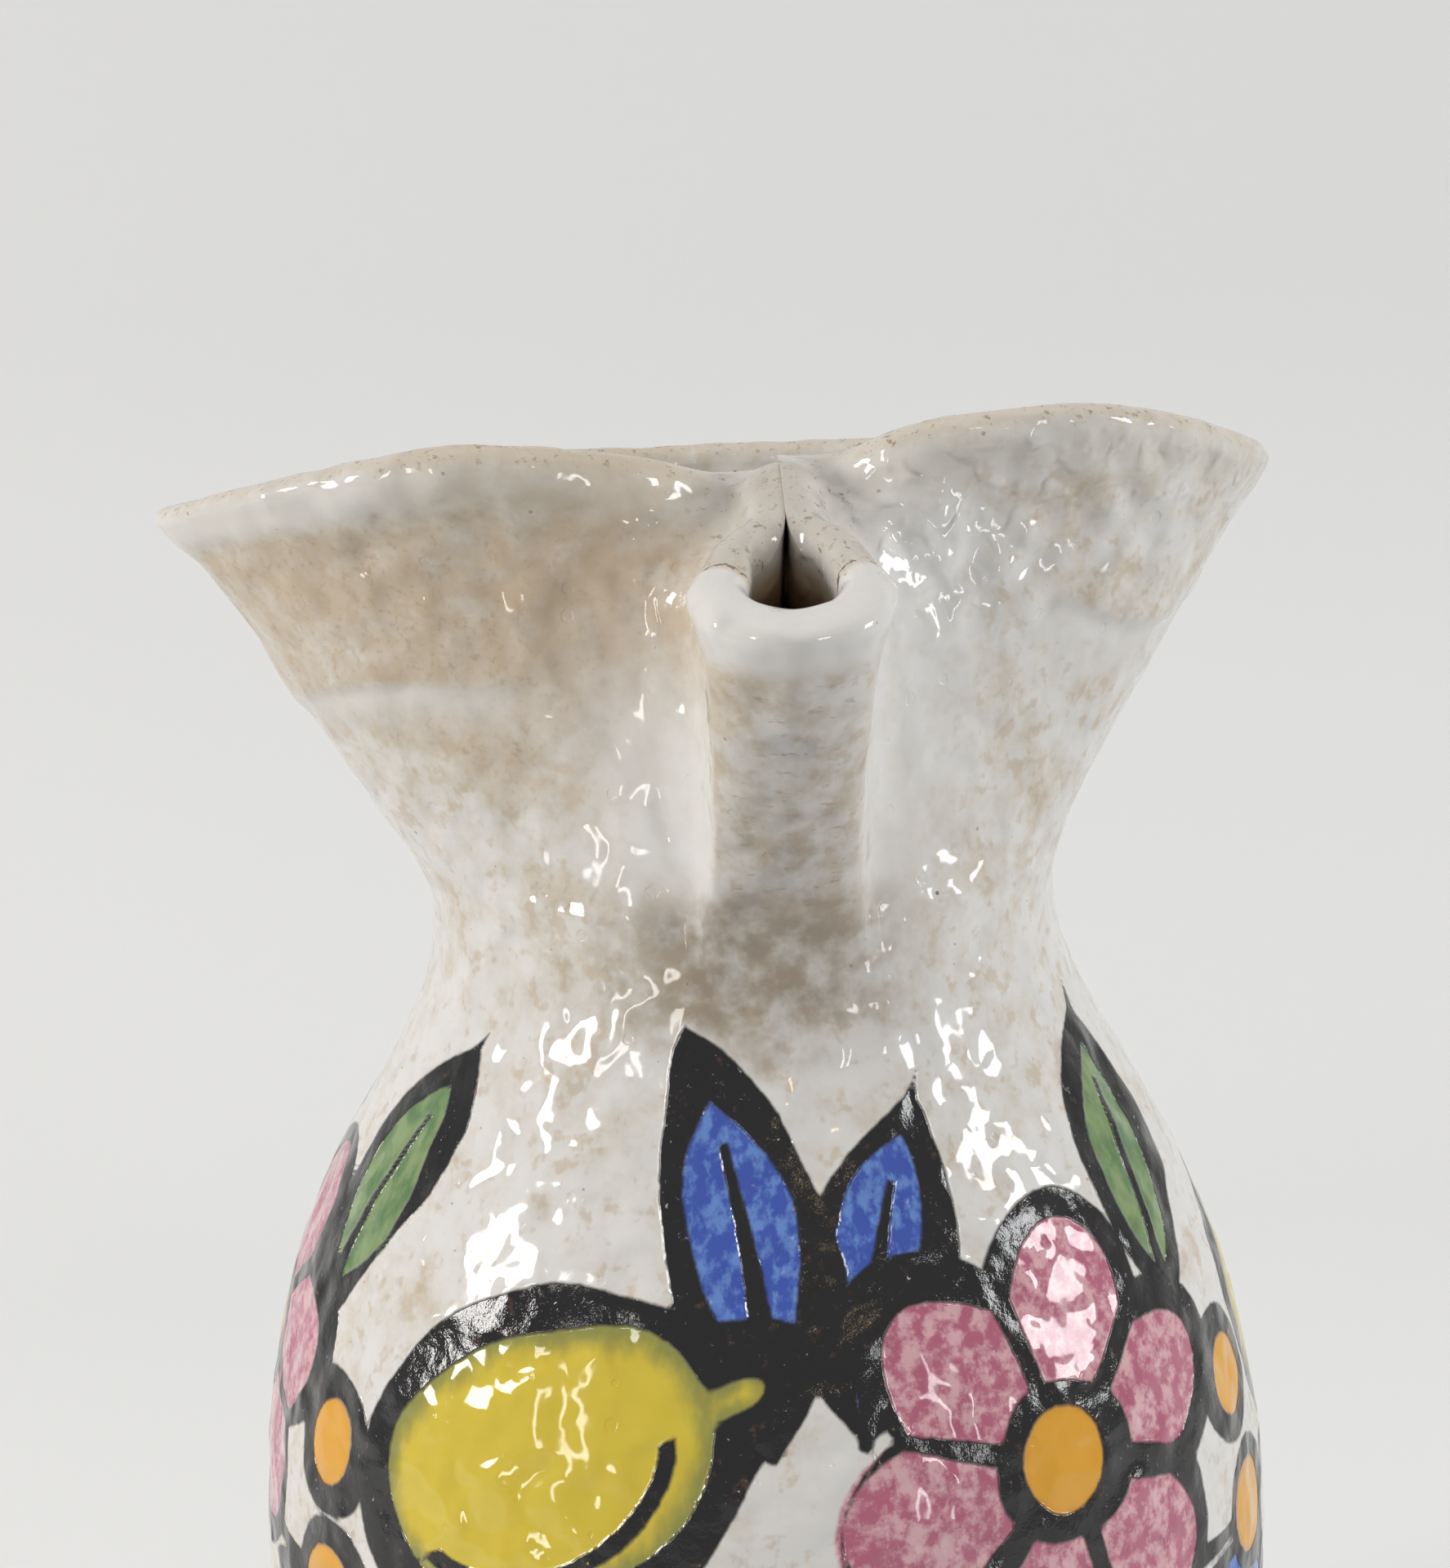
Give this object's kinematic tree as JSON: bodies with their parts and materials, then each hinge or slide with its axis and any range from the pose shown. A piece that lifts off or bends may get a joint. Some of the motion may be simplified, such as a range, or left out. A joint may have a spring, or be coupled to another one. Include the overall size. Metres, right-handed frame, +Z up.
{
  "type": "ceramic jug",
  "caption": "Hand-built glazed ceramic jug with an ovoid belly, narrow neck and a flared, winged collar pinched at the front into a hollow open-topped grip.",
  "frame": {"origin": "centre of the flat base, on the axis of the belly", "axes": "+Z up along the axis of the belly, -Y toward the pinched grip, -X and +X toward the two wings of the collar"},
  "size_m": [0.1565, 0.149, 0.2705],
  "materials": {
    "bare_clay": "unglazed fired clay",
    "body_glaze": "glossy mottled white glaze with painted decoration",
    "collar_glaze": "glossy mottled cream glaze with dark specks"
  },
  "bodies": {
    "jug": {"base_slab": "bare_clay", "belly_wall": "body_glaze", "shoulder_wall": "body_glaze", "neck": "collar_glaze", "collar": "collar_glaze", "grip_strap": "collar_glaze"}
  },
  "joints": []
}
